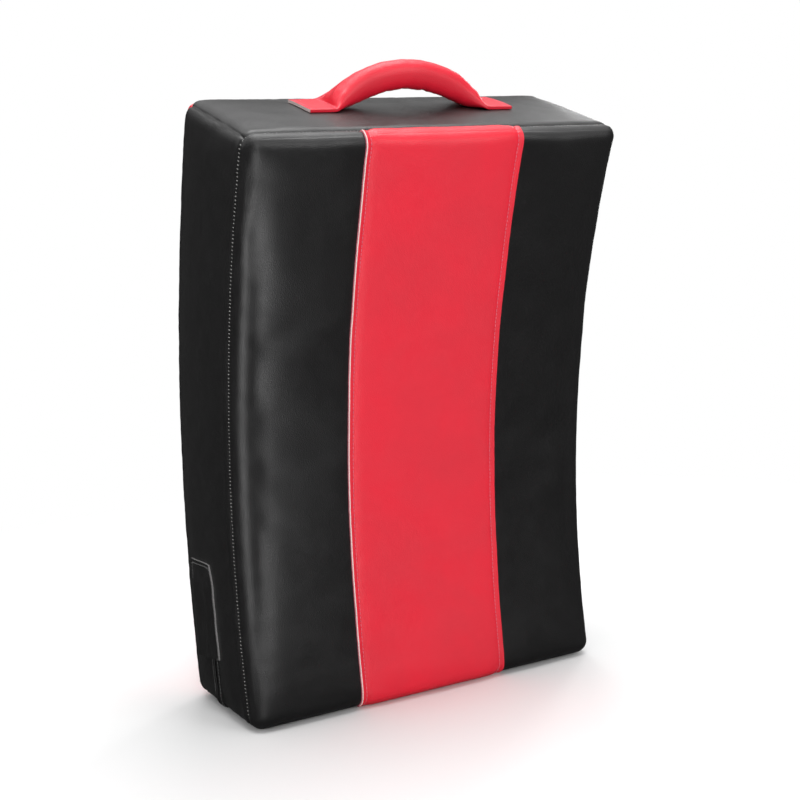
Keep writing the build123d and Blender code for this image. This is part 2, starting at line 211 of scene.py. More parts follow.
def graded(low, high, coarse, marks):
    """Grid lines from low to high: coarse steps, finer near each (place, finest step, reach) mark."""
    places = [low]
    fixed = sorted([m[0] for m in marks if low < m[0] < high] + [high])
    while fixed:
        here = places[-1]
        step = coarse
        for place, fine, reach in marks:
            near = min(max(abs(here - place) - fine, 0) / reach, 1)
            step = min(step, fine + (coarse - fine) * near)
        if here + step * 1.3 >= fixed[0]:
            places.append(fixed.pop(0))
        else:
            places.append(here + step)
    return np.array(places)


def mesh_object(name, points, faces, materials=(), slots=None):
    mesh = bpy.data.meshes.new(name)
    mesh.from_pydata(np.asarray(points).tolist(), [], [list(map(int, f)) for f in faces])
    for material in materials:
        mesh.materials.append(material)
    if slots is not None:
        mesh.polygons.foreach_set("material_index", np.asarray(slots, np.int32))
    mesh.polygons.foreach_set("use_smooth", np.ones(len(mesh.polygons), bool))
    mesh.update()
    obj = bpy.data.objects.new(name, mesh)
    bpy.context.scene.collection.objects.link(obj)
    return obj


def belongs(piece, stands_for=()):
    """A piece of the cover, and the solids it stands for, which are hidden."""
    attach(piece, "cover")
    if stands_for:
        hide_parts(*stands_for)


def tube_faces(count, size, capped=False):
    """Quads of a tube of count rings with size points each, with end caps where it is capped."""
    grid = np.arange(count * size).reshape(count, size)
    nxt = np.roll(grid, -1, 1)
    faces = [tuple(q) for q in np.stack([grid[:-1], nxt[:-1], nxt[1:], grid[1:]], -1).reshape(-1, 4)]
    return faces + [tuple(grid[0][::-1]), tuple(grid[-1])] if capped else faces


def vertex_normals(points, quads):
    """Area-weighted vertex normals of a quad mesh."""
    a, b, c, d = (points[quads[:, k]] for k in range(4))
    face = np.cross(c - a, d - b)
    total = np.zeros_like(points)
    for k in range(4):
        np.add.at(total, quads[:, k], face)
    return total / np.maximum(np.linalg.norm(total, axis=1, keepdims=True), 1e-12)


# ---------------------------------------------------------------- cloth simulation
CLOTH = dict(
    quality=6, mass=0.35, tension_stiffness=22, compression_stiffness=22, shear_stiffness=12,
    bending_stiffness=1.2, vertex_group_mass="seams", pin_stiffness=1.0,
    shrink_min=-0.006,      # cut a little too large, so that it can puff
    use_pressure=True, uniform_pressure_force=4.0,
)
LOOSE, DRAWN_DOWN, RESTING, SEWN = 0.012, 0.25, 0.5, 1.0       # how firmly points are held


def puffed_offsets():
    """Blow the cover up as cloth held at its seams; how far each lattice point moves outwards."""
    step = THICKNESS / SIM_STEPS
    count = [2 * round(half / step) + 1 for half in (WIDTH / 2, HALF)]
    blank = Lattice(
        np.linspace(-WIDTH / 2, WIDTH / 2, count[0]),
        np.linspace(-HALF, HALF, count[1]),
        np.linspace(0, THICKNESS, SIM_STEPS + 1),
    )
    rest = bend(soften(blank.flat))
    obj = mesh_object("cover_blank", rest, blank.quads)
    held = obj.vertex_groups.new(name="seams")
    x, s, d = np.abs(blank.flat[:, 0]), np.abs(blank.flat[:, 1]), blank.flat[:, 2]
    from_face = np.minimum(d, THICKNESS - d)
    on_rim = (x > WIDTH / 2 - 1e-6) | (s > HALF - 1e-6)
    seam = on_rim & (np.minimum(np.abs(d - EDGE), np.abs(d - BACK_SEAM)) < step * 0.3)
    stripe = (from_face < 1e-6) & (np.abs(x - FRONT_STRIPE / 2 + STITCH_INSET) < step * 0.51)
    foot = (blank.flat[:, 1] < -HALF + 1e-6) & on_rim
    weight = np.full(len(rest), LOOSE)
    weight[stripe] = DRAWN_DOWN
    weight[foot] = RESTING
    weight[seam] = SEWN
    for value in np.unique(weight):
        held.add([int(i) for i in np.nonzero(weight == value)[0]], float(value), "REPLACE")
    cloth = obj.modifiers.new("puff", "CLOTH")
    for setting, value in CLOTH.items():
        setattr(cloth.settings, setting, value)
    cloth.settings.effector_weights.gravity = 0
    cloth.collision_settings.use_collision = False
    scene = bpy.context.scene
    for number in range(1, SIM_FRAMES + 1):
        scene.frame_set(number)
    done = obj.evaluated_get(bpy.context.evaluated_depsgraph_get())
    moved = np.array([v.co for v in done.data.vertices]) - rest
    scene.frame_set(1)
    bpy.data.objects.remove(obj)
    outward = (moved * vertex_normals(rest, blank.quads)).sum(1)
    print("puff mm", np.percentile(outward / MM, (0, 5, 50, 95, 100)).round(2))
    outward = smoothed(outward, blank.quads, np.maximum(seam, foot), 4)
    return blank, np.maximum(PUFF_CAP * np.tanh(outward / PUFF_CAP), -0.5 * MM)


def smoothed(values, quads, held, rounds):
    """Average each value with its neighbours, except where it is held."""
    edges = np.concatenate([quads[:, [k, (k + 1) % 4]] for k in range(4)])
    count = np.bincount(edges[:, 0], minlength=len(values))
    for _ in range(rounds):
        around = np.bincount(edges[:, 0], weights=values[edges[:, 1]], minlength=len(values)) / count
        values = np.where(held, values, 0.4 * values + 0.6 * around)
    return values


def catmull_rom(values, places, at):
    """Smooth values given on evenly spaced places (first axis) at new places."""
    step = places[1] - places[0]
    position = np.clip((at - places[0]) / step, 0, len(places) - 1 - 1e-9)
    cell = position.astype(int)
    t = (position - cell).reshape((-1,) + (1,) * (values.ndim - 1))
    last = len(places) - 1
    p0, p1, p2, p3 = (values[np.clip(cell + k, 0, last)] for k in (-1, 0, 1, 2))
    return 0.5 * (
        2 * p1 + (p2 - p0) * t + (2 * p0 - 5 * p1 + 4 * p2 - p3) * t**2 + (3 * p1 - p0 - 3 * p2 + p3) * t**3
    )


def refine(blank, offsets, fine):
    """Carry the simulated offsets to the fine lattice, side by side."""
    result = np.zeros(len(fine.flat))
    for side in range(6):
        us, vs = blank.side_lines(side)
        fine_us, fine_vs = fine.side_lines(side)
        along_u = catmull_rom(offsets[blank.side_ids(side)], us, fine_us)
        both = catmull_rom(along_u.T, vs, fine_vs).T
        result[fine.side_ids(side)] = both
    return result


def smooth_noise(points, size, seed):
    """Soft noise between about -1 and 1, one value for each point."""
    shift = Vector((seed * 7.31, seed * 3.77, seed * 5.19))
    return np.array([noise.noise(Vector(p) / size + shift) for p in points])


def bell(distance, width):
    return np.exp(-((distance / width) ** 2))


def smoothstep(low, high, value):
    t = np.clip((value - low) / (high - low), 0, 1)
    return t * t * (3 - 2 * t)


# ---------------------------------------------------------------- the fine cover
ZIP_OPENING = (ZIP_DEPTH - SLOT, ZIP_DEPTH + SLOT)


def fine_cover():
    stripe_marks = []
    for half in (FRONT_STRIPE / 2, BACK_STRIPE / 2):
        for side in (-1, 1):
            stripe_marks.append((side * half, 1.0 * MM, 14 * MM))
            stripe_marks.append((side * (half - LAP), 1.0 * MM, 14 * MM))
            stripe_marks.append((side * (half - STITCH_INSET), 1.0 * MM, 14 * MM))
    ends = [(-WIDTH / 2, 1.2 * MM, 16 * MM), (WIDTH / 2, 1.2 * MM, 16 * MM)]
    xs = graded(-WIDTH / 2, WIDTH / 2, 4.0 * MM, stripe_marks + ends)
    lengthwise = [(-HALF, 1.2 * MM, 16 * MM), (HALF, 1.2 * MM, 16 * MM), (ZIP_TOP, 2 * MM, 10 * MM)]
    ss = graded(-HALF, HALF, 3.6 * MM, lengthwise)
    depth_marks = [(EDGE, 0.7 * MM, 16 * MM), (BACK_SEAM, 0.7 * MM, 16 * MM)]
    depth_marks += [(0, 1.2 * MM, 12 * MM), (THICKNESS, 1.2 * MM, 12 * MM)]
    depth_marks += [(place, 1.0 * MM, 16 * MM) for place in ZIP_OPENING]
    ds = graded(0, THICKNESS, 4.0 * MM, depth_marks)
    return Lattice(xs, ss, ds)


def shape_cover(fine, puff):
    """Final cover: bent block, puff, seam grooves, puckers and soft creases. rim is each point's
    distance from the nearest perimeter seam, measured over the cover."""
    x, s, d = fine.flat.T
    on_side = np.abs(x) > WIDTH / 2 - 1e-6
    on_end = np.abs(s) > HALF - 1e-6
    at_foot = s < -HALF + 1e-6
    flat = fine.flat.copy()
    # the zip is straight while the shield bends, so the side's lines lean over to it
    lean = zip_depth(s) - ZIP_DEPTH
    inner = np.minimum(d - EDGE, THICKNESS - EDGE - d) / (ZIP_DEPTH / 2)
    low_down = 1 - smoothstep(ZIP_TOP + 20 * MM, ZIP_TOP + 60 * MM, s)
    flat[:, 2] += np.where(on_side & ~on_end, lean * np.clip(inner, 0, 1) * low_down, 0)
    points = bend(soften(flat))
    normals = vertex_normals(points, fine.quads)

    to_edge = np.minimum(WIDTH / 2 - np.abs(x), HALF - np.abs(s))
    to_seam = np.minimum(np.abs(d - EDGE), np.abs(d - BACK_SEAM))
    rim = np.where(on_side | on_end, to_seam, to_edge + np.where(d < EDGE, EDGE, THICKNESS - BACK_SEAM))
    to_zip = np.where(on_side, np.hypot(d - ZIP_DEPTH, np.maximum(s - ZIP_TOP, 0)), 1.0)
    to_zip = np.where(at_foot, np.abs(d - ZIP_DEPTH), to_zip)
    calm = 1 - 0.97 * bell(to_zip, 20 * MM)
    calm *= np.where(at_foot, 0.1, 1)
    calm *= np.where(on_end & ~at_foot, 0.8, 1)
    height = puff * calm

    # soft undulations, strongest along the rounded front and back edges
    broad = smooth_noise(points, 60 * MM, 1)
    ripple = smooth_noise(points * (1, 1, 1.7), 26 * MM, 2)
    near_edge = bell(to_edge, 34 * MM)
    soft_left = np.where((d < THICKNESS / 2) & (x < 0), 1.0, 0.45)
    waves = 0.8 * broad + 0.6 * ripple * (0.2 + near_edge) * soft_left
    height += waves * MM * calm * smoothstep(0, 14 * MM, rim)

    # perimeter seams, with puckers, and corner seams
    along_noise = smooth_noise(points, 6 * MM, 3)
    height -= 2.4 * MM * bell(rim, 2.6 * MM)
    height -= 0.5 * MM * bell(rim, 7 * MM) * (1 + along_noise)
    height += 0.45 * MM * bell(rim - 6 * MM, 4 * MM)
    corner = np.hypot(WIDTH / 2 - np.abs(x), HALF - np.abs(s))
    corner = np.where((d > EDGE) & (d < BACK_SEAM), corner, 1.0)
    height -= 1.4 * MM * bell(corner, 2.2 * MM)
    height -= 0.4 * MM * bell(corner, 7 * MM) * (1 + along_noise)

    # stripes are drawn down along their stitch rows
    for half, flat_zone in ((FRONT_STRIPE / 2, d < EDGE), (BACK_STRIPE / 2, d > BACK_SEAM)):
        to_row = np.abs(np.abs(x) - half + STITCH_INSET)
        height -= np.where(flat_zone, 1.1 * MM * bell(to_row, 5 * MM), 0)
        height -= np.where(flat_zone, 0.5 * MM * bell(to_row, 12 * MM) * (1 + 0.8 * along_noise), 0)

    # the lower end makes room for the zip's lips
    height -= np.where(at_foot, 2.6 * MM * bell(to_zip, 13 * MM), 0)
    on_cover = rim > 7 * MM
    height = np.where(on_cover & ~at_foot, np.maximum(height, -1.0 * MM), height)
    points = points + normals * height[:, None]
    points[:, 2] = np.maximum(points[:, 2], LEATHER)
    return points, vertex_normals(points, fine.quads)


# ---------------------------------------------------------------- materials
def nodes_of(name):
    material = bpy.data.materials.new(name)
    material.use_nodes = True
    tree = material.node_tree
    tree.nodes.clear()
    out = tree.nodes.new("ShaderNodeOutputMaterial")
    shader = tree.nodes.new("ShaderNodeBsdfPrincipled")
    tree.links.new(shader.outputs[0], out.inputs[0])
    return material, tree, shader


def feed(tree, sockets, values):
    """Set each socket to its value, or link it where the value is itself a socket."""
    for socket, value in zip(sockets, values):
        if isinstance(value, bpy.types.NodeSocket):
            tree.links.new(value, socket)
        else:
            socket.default_value = value


def add(tree, kind, **inputs):
    """A node with inputs set by name, or by number after an underscore."""
    node = tree.nodes.new(kind)
    feed(tree, (node.inputs[int(key[1:]) if key[0] == "_" else key] for key in inputs), inputs.values())
    return node


def place_of(tree):
    return tree.nodes.new("ShaderNodeTexCoord").outputs["Object"]


def noise_at(tree, place, scale, detail=3.0, rough=0.5):
    node = add(tree, "ShaderNodeTexNoise", Vector=place, Scale=scale, Detail=detail, Roughness=rough)
    return node.outputs[0]


def between(tree, value, low, high, to_low, to_high):
    node = add(tree, "ShaderNodeMapRange", _0=value, _1=low, _2=high, _3=to_low, _4=to_high)
    return node.outputs[0]


def mixed(tree, share, first, second):
    """Colour mix; a Mix node keeps its colours in inputs 6 and 7 and output 2."""
    node = tree.nodes.new("ShaderNodeMix")
    node.data_type = "RGBA"
    feed(tree, (node.inputs[number] for number in (0, 6, 7)), (share, first, second))
    return node.outputs[2]


def math_node(tree, operation, first, second):
    node = tree.nodes.new("ShaderNodeMath")
    node.operation = operation
    feed(tree, node.inputs, (first, second))
    return node.outputs[0]


def finish(tree, shader, colour, roughness, height, depth, strength):
    """Give the shader its colour, its roughness and a bump of this depth in metres."""
    bump = add(tree, "ShaderNodeBump", Height=height, Distance=depth, Strength=strength)
    sockets = (shader.inputs[name] for name in ("Base Color", "Roughness", "Normal"))
    feed(tree, sockets, (colour, roughness, bump.outputs[0]))


def scaled(colour, share):
    return tuple(min(1, share * part) for part in colour[:3]) + (1,)


def leather(name, colour, sheen_colour, roughness, coat):
    """Coated leather: fine pebbled grain, soft blotches in colour and gloss, and paler patches of painted
    sheen.
    """
    material, tree, shader = nodes_of(name)
    place = place_of(tree)
    blotch = noise_at(tree, place, 14, 4)
    cloud = noise_at(tree, place, 55, 3)
    cells = add(tree, "ShaderNodeTexVoronoi", Vector=place, Scale=620.0)
    cells.feature = "DISTANCE_TO_EDGE"
    grain = between(tree, cells.outputs[0], 0.0, 0.35, 0.0, 1.0)
    fine = noise_at(tree, place, 1500, 2)
    share = between(tree, blotch, 0.35, 0.7, 0.0, 0.55)
    base = mixed(tree, share, colour, scaled(colour, 0.82))
    # paler patches at random places: painted sheen mixed into the base colour, standing in for highlights
    # on the grain
    painted_sheen = between(tree, noise_at(tree, place, 90, 6, 0.7), 0.62, 0.8, 0.0, 0.35)
    base = mixed(tree, painted_sheen, base, sheen_colour)
    gloss = math_node(tree, "ADD", between(tree, blotch, 0.3, 0.7, -0.05, 0.05), roughness)
    gloss = math_node(tree, "ADD", between(tree, cloud, 0.3, 0.7, -0.035, 0.035), gloss)
    shader.inputs["Specular IOR Level"].default_value = 0.5
    shader.inputs["Coat Weight"].default_value = coat
    shader.inputs["Coat Roughness"].default_value = 0.32
    height = math_node(tree, "MULTIPLY", grain, 0.7)
    height = math_node(tree, "ADD", height, math_node(tree, "MULTIPLY", fine, 0.3))
    finish(tree, shader, base, gloss, height, 0.2 * MM, 0.6)
    return material


def plain_fibre(name, colour, dark, scale, roughness, depth):
    """Matt fibrous material: felted backing, thread or webbing."""
    material, tree, shader = nodes_of(name)
    place = place_of(tree)
    fibre = noise_at(tree, place, scale, 5, 0.65)
    base = mixed(tree, between(tree, fibre, 0.35, 0.7, 0.0, 1.0), dark, colour)
    finish(tree, shader, base, roughness, fibre, depth, 0.6)
    return material


def twisted_thread(name, colour, dark):
    """Bonded sewing thread with a visible twist."""
    material, tree, shader = nodes_of(name)
    place = place_of(tree)
    wave = add(tree, "ShaderNodeTexWave", Vector=place, Scale=900.0, Distortion=2.0, Detail=2.0)
    base = mixed(tree, wave.outputs[1], dark, colour)
    shader.inputs["Sheen Weight"].default_value = 0.2
    finish(tree, shader, base, 0.55, wave.outputs[1], 0.2 * MM, 0.5)
    return material


def woven(name, colour, dark, scale):
    """Plain weave, as on a zip tape or webbing."""
    material, tree, shader = nodes_of(name)
    place = place_of(tree)
    waves = []
    for axis in ("X", "Z"):
        wave = add(tree, "ShaderNodeTexWave", Vector=place, Scale=scale, Distortion=0.6, Detail=1.0)
        wave.bands_direction = axis
        waves.append(wave.outputs[1])
    weave = math_node(tree, "MULTIPLY", *waves)
    base = mixed(tree, weave, dark, colour)
    shader.inputs["Sheen Weight"].default_value = 0.3
    finish(tree, shader, base, 0.8, weave, 0.3 * MM, 0.7)
    return material


def foam(name, colour, dark, scale):
    """Closed-cell foam: small bubbles."""
    material, tree, shader = nodes_of(name)
    cells = add(tree, "ShaderNodeTexVoronoi", Vector=place_of(tree), Scale=scale)
    base = mixed(tree, between(tree, cells.outputs[0], 0.1, 0.8, 0.0, 1.0), dark, colour)
    finish(tree, shader, base, 0.9, cells.outputs[0], 0.6 * MM, 0.6)
    return material


def hard(name, colour, roughness, metallic):
    """Moulded plastic or enamelled metal with faint handling marks."""
    material, tree, shader = nodes_of(name)
    place = place_of(tree)
    marks = noise_at(tree, place, 400, 6, 0.7)
    base = mixed(tree, between(tree, marks, 0.55, 0.8, 0.0, 0.5), colour, scaled(colour, 3))
    dulled = between(tree, marks, 0.3, 0.7, roughness, roughness + 0.15)
    shader.inputs["Metallic"].default_value = metallic
    finish(tree, shader, base, dulled, marks, 0.1 * MM, 0.2)
    return material


# each leather's second colour is its painted sheen, mixed into the base in paler patches
RED = leather("red_leather", (0.73, 0.008, 0.029, 1), (0.76, 0.030, 0.060, 1), 0.42, 0.07)
BLACK = leather("black_leather", (0.0075, 0.0072, 0.0075, 1), (0.028, 0.027, 0.029, 1), 0.40, 0.05)
RAW = plain_fibre("raw_backing", (0.80, 0.70, 0.67, 1), (0.58, 0.42, 0.42, 1), 900, 0.9, 0.3 * MM)
PALE_THREAD = twisted_thread("pale_thread", (0.66, 0.65, 0.63, 1), (0.36, 0.35, 0.34, 1))
GREY_THREAD = twisted_thread("grey_thread", (0.17, 0.17, 0.165, 1), (0.08, 0.08, 0.08, 1))
CUT_EDGE = plain_fibre("cut_edge", (0.84, 0.34, 0.38, 1), (0.60, 0.08, 0.12, 1), 900, 0.8, 0.3 * MM)
GREY_EDGE = plain_fibre("grey_edge", (0.30, 0.29, 0.29, 1), (0.12, 0.12, 0.12, 1), 900, 0.8, 0.3 * MM)
RED_THREAD = twisted_thread("red_thread", (0.80, 0.20, 0.27, 1), (0.50, 0.06, 0.10, 1))
BLACK_THREAD = twisted_thread("black_thread", (0.07, 0.07, 0.07, 1), (0.02, 0.02, 0.02, 1))
TAPE = woven("zip_tape_weave", (0.030, 0.030, 0.033, 1), (0.008, 0.008, 0.009, 1), 700)
WEBBING = woven("webbing", (0.10, 0.10, 0.10, 1), (0.03, 0.03, 0.03, 1), 350)
COIL = hard("nylon_coil", (0.02, 0.02, 0.022, 1), 0.3, 0.0)
ENAMEL = hard("black_enamel", (0.03, 0.03, 0.032, 1), 0.28, 0.7)
DENSE_FOAM = foam("dense_foam", (0.14, 0.14, 0.15, 1), (0.06, 0.06, 0.07, 1), 1400)
CORE_FOAM = foam("core_foam", (0.86, 0.84, 0.74, 1), (0.62, 0.60, 0.50, 1), 700)


# ---------------------------------------------------------------- panels
def shell(name, points, normals, quads, lift, materials):
    """Closed sheet of leather: the quads raised by lift, their underside, and a wall round the edge."""
    used, local = np.unique(quads, return_inverse=True)
    local = local.reshape(quads.shape)
    count = len(used)
    raise_by = lift[used] if isinstance(lift, np.ndarray) else np.full(count, lift)
    outer = points[used] + normals[used] * raise_by[:, None]
    inner = outer - normals[used] * LEATHER
    edges = np.concatenate([local[:, [k, (k + 1) % 4]] for k in range(4)])
    edges = dict.fromkeys(map(tuple, edges.tolist()))
    wall = [(a, b) for a, b in edges if (b, a) not in edges]
    faces = [tuple(q) for q in local] + [tuple(q[::-1] + count) for q in local]
    slots = [0] * (2 * len(local))
    faces += [(b, a, a + count, b + count) for a, b in wall]
    slots += [len(materials) - 1] * len(wall)
    obj = mesh_object(name, np.concatenate([outer, inner]), faces, materials, slots)
    obj.data.set_sharp_from_angle(angle=math.radians(50))
    return obj


def show_cut_edge(piece, across, half):
    """The stripe shows its backing along its left edge, where the leather curls up a little; the band only
    takes the backing's material, and its shape is not curled.
    """
    backing, width = (RAW, 1.35 * MM) if piece.name.startswith("front") else (GREY_EDGE, 0.8 * MM)
    piece.data.materials.append(backing)
    slots = np.zeros(len(piece.data.polygons), np.int32)
    piece.data.polygons.foreach_get("material_index", slots)
    slots[: len(across)][across < width - half] = 2
    piece.data.polygons.foreach_set("material_index", slots)


def cover_panels(fine, points, normals):
    """Split the cover along its seams; each panel is its own sheet of leather."""
    centre = fine.flat[fine.quads].mean(1)
    x, s, d = centre.T
    side = fine.sides
    front = d < EDGE
    back = d > BACK_SEAM
    gusset = ~front & ~back
    slot = gusset & (np.abs(d - ZIP_DEPTH) < SLOT)
    slot &= (side == 2) | (((side == 0) | (side == 1)) & (s < ZIP_TOP))
    panels = {}
    faces = (("front_panel", front, FRONT_STRIPE / 2), ("back_panel", back, BACK_STRIPE / 2))
    for name, zone, half in faces:
        panels[name + "_left"] = zone & (x < LAP - half)
        panels[name + "_right"] = zone & (x > half - LAP)
        panels[name + "_middle"] = zone & (np.abs(x) < half)
    panels["side_panel_left"] = gusset & (side == 0) & ~slot
    panels["side_panel_right"] = gusset & (side == 1) & ~slot
    panels["top_panel"] = gusset & (side == 3)
    panels["bottom_panel_front"] = gusset & (side == 2) & (d < ZIP_DEPTH) & ~slot
    panels["bottom_panel_back"] = gusset & (side == 2) & (d > ZIP_DEPTH) & ~slot
    red = ("front_panel_middle", "back_panel_left", "back_panel_right")
    for node, chosen in panels.items():
        material = RED if node in red else BLACK
        half = (FRONT_STRIPE if node.startswith("front") else BACK_STRIPE) / 2
        lift = 0.0
        if node.endswith("middle"):
            across = np.abs(fine.flat[:, 0])
            lift = RAISED - 0.5 * MM * bell(across - half + STITCH_INSET, 2.0 * MM)
            lift = lift - 0.35 * MM * smoothstep(half - 1.2 * MM, half, across)
        edge = {"front_panel_middle": CUT_EDGE, "back_panel_middle": GREY_EDGE}.get(node, material)
        piece = shell(node + "_leather", points, normals, fine.quads[chosen], lift, [material, edge])
        if node.endswith("middle"):
            show_cut_edge(piece, x[chosen], half)
        belongs(piece, (node,))


# ---------------------------------------------------------------- stitches
def arc_length(points):
    steps = np.linalg.norm(np.diff(points, axis=0), axis=1)
    return np.concatenate([[0], np.cumsum(steps)])


def read_off(at, reach, values):
    """Vectors known at the distances reach along a path, read off at other distances."""
    return np.stack([np.interp(at, reach, values[:, k]) for k in range(3)], 1)


def resample(points, pitch, first=0.0):
    """Even places along a polyline: points, unit directions and distances."""
    reach = arc_length(points)
    at = np.arange(first, reach[-1], pitch)
    way = read_off(at + pitch / 4, reach, points) - read_off(at - pitch / 4, reach, points)
    way /= np.maximum(np.linalg.norm(way, axis=1, keepdims=True), 1e-12)
    return read_off(at, reach, points), way, at


def nearest_normals(normals, ids, path, at):
    """Normals of the path's own vertices at these distances along it."""
    return normals[ids[np.searchsorted(arc_length(path), at).clip(0, len(ids) - 1)]]


# half a stitch: place along it in lengths, then size and height in radii
STITCH_HALF = [(0.5, 0.15, -0.6), (0.42, 0.75, 0.05), (0.15, 1.0, 0.35)]
STITCH_PROFILE = [(-place, size, height) for place, size, height in STITCH_HALF] + STITCH_HALF[::-1]
STITCH_RIM = 6
STITCH_POINTS = len(STITCH_PROFILE) * STITCH_RIM


def stitch_shapes(spots, ways, normals, length, radius):
    """One small rounded stitch at each spot, bowed over the surface: points, quads and end caps."""
    verts = []
    across = np.cross(normals, ways)
    across /= np.maximum(np.linalg.norm(across, axis=1, keepdims=True), 1e-12)
    for place, size, height in STITCH_PROFILE:
        for k in range(STITCH_RIM):
            a = 2 * math.pi * k / STITCH_RIM
            verts.append(
                spots + ways * (place * length)
                + across * (math.cos(a) * size * radius)
                + normals * (math.sin(a) * size * radius * 0.8 + height * radius)
            )
    points = np.stack(verts, 1).reshape(-1, 3)
    quads = np.array(tube_faces(len(STITCH_PROFILE), STITCH_RIM))
    ring = np.arange(STITCH_RIM)
    caps = np.stack([ring[::-1], ring + STITCH_POINTS - STITCH_RIM])
    base = (np.arange(len(spots)) * STITCH_POINTS)[:, None, None]
    return points, (quads + base).reshape(-1, 4), (caps + base).reshape(-1, STITCH_RIM)


def stitch_mesh(name, rows, material):
    """One mesh from several rows of (spots, ways, normals, length, radius)."""
    points, faces, count = [], [], 0
    for row in rows:
        p, quads, caps = stitch_shapes(*row)
        points.append(p)
        faces += [tuple(q) for q in quads + count] + [tuple(c) for c in caps + count]
        count += len(p)
    return mesh_object(name, np.concatenate(points), faces, [material])


def stitched(name, rows, material, stands_for):
    belongs(stitch_mesh(name, rows, material), (stands_for,))


def line_index(line, place):
    return int(np.argmin(np.abs(line - place)))


def loop_ids(fine, depth):
    """Vertices of a closed line round the cover at this depth."""
    k = line_index(fine.lines[2], depth)
    left, top = fine.index[0, :, k], fine.index[1:, -1, k]
    right, foot = fine.index[-1, -2::-1, k], fine.index[-2:0:-1, 0, k]
    loop = np.concatenate([left, top, right, foot])
    return np.append(loop, loop[0])


def stripe_ids(fine, x, front):
    """Vertices of a line up one face at this place across, with its turns over both ends."""
    i = line_index(fine.lines[0], x)
    ds = fine.lines[2]
    k = line_index(ds, EDGE if front else BACK_SEAM)
    if front:
        low, face, high = fine.index[i, 0, k:0:-1], fine.index[i, :, 0], fine.index[i, -1, 1 : k + 1]
    else:
        low, face, high = fine.index[i, 0, k:-1], fine.index[i, :, -1], fine.index[i, -1, -2 : k - 1 : -1]
    return np.concatenate([low, face, high])


def stripe_stitches(fine, points, normals):
    for name, half, front, material in (
        ("front_stripe", FRONT_STRIPE / 2, True, RED_THREAD),
        ("back_stripe", BACK_STRIPE / 2, False, BLACK_THREAD),
    ):
        rows = []
        for side in (-1, 1):
            ids = stripe_ids(fine, side * (half - STITCH_INSET), front)[4:-4]
            path = points[ids] + normals[ids] * (RAISED - 0.5 * MM)
            spots, ways, _ = resample(path, 4.0 * MM)
            nearest = nearest_normals(normals, ids, path, arc_length(spots))
            rows.append((spots, ways, nearest, 3.3 * MM, 0.42 * MM))
        stitched(name + "_stitches", rows, material, name + "_thread")


def seam_stitches(fine, points, normals):
    """Short threads that cross the groove of the turned perimeter seams."""
    for name, depth, thread in (("front_seam", EDGE, PALE_THREAD), ("back_seam", BACK_SEAM, GREY_THREAD)):
        ids = loop_ids(fine, depth)
        ids = ids[points[ids, 2] > 3 * MM]
        path = points[ids]
        spots, ways, _ = resample(path, 3.6 * MM)
        nearest = nearest_normals(normals, ids, path, arc_length(spots))
        # none where the path jumps over the foot
        keep = np.linalg.norm(np.diff(spots, axis=0, append=spots[-1:]), axis=1) < 8 * MM
        across = np.cross(nearest, ways)
        row = (spots + nearest * 0.9 * MM, across, nearest, 2.6 * MM, 0.34 * MM)
        row = tuple(v[keep] if isinstance(v, np.ndarray) else v for v in row)
        stitched(name + "_stitches", [row], thread, name + "_thread")


# ---------------------------------------------------------------- handles
STRAP = 50 * MM
TAB = 29 * MM
LAYER = 1.6 * MM            # each of a strap's two layers
SLIT = 0.15 * MM            # half the gap between the layers' cut edges
SLIT_DEPTH = 1.0 * MM
FLANGE = 6 * MM             # sewn edge beside the roll
ROLL = STRAP - FLANGE       # half the roll's girth
ROUNDING_LOSS = 0.3634      # 1 - 2 / pi, the share of its flat width that a fully round roll loses
HINGE_HEIGHT = 7 * MM
RISE = 31 * MM              # of the roll's middle over the cover
CROSS_PLACE = 213 * MM      # up the back from the middle


def unit(vector):
    vector = np.asarray(vector, float)
    return vector / np.linalg.norm(vector)


def sample(grid, row, column):
    """Values between the points of a grid, at fractional rows and columns."""
    i = np.clip(row.astype(int), 0, grid.shape[0] - 2)
    j = np.clip(column.astype(int), 0, grid.shape[1] - 2)
    u, v = (row - i)[:, None], (column - j)[:, None]
    low = grid[i, j] * (1 - v) + grid[i, j + 1] * v
    high = grid[i + 1, j] * (1 - v) + grid[i + 1, j + 1] * v
    return low * (1 - u) + high * u


class Ground:
    """Height of the cover over a plane, found by looking straight down on it."""

    def __init__(self, tree, origin, along, across, normal):
        self.tree, self.origin = tree, np.asarray(origin)
        self.along, self.across, self.normal = along, across, normal

    def place(self, u, v, w):
        parts = ((u, self.along), (v, self.across), (w, self.normal))
        return self.origin + sum(np.asarray(value)[..., None] * axis for value, axis in parts)

    def height(self, u, v):
        u, v = np.broadcast_arrays(u, v)
        above = 60 * MM
        start = self.place(u, v, np.full(u.shape, above)).reshape(-1, 3)
        down = Vector(-self.normal)
        result = []
        for point in start:
            distance = self.tree.ray_cast(Vector(point), down, 2 * above)[3]
            result.append(0.0 if distance is None else above - distance)
        return np.array(result).reshape(u.shape)


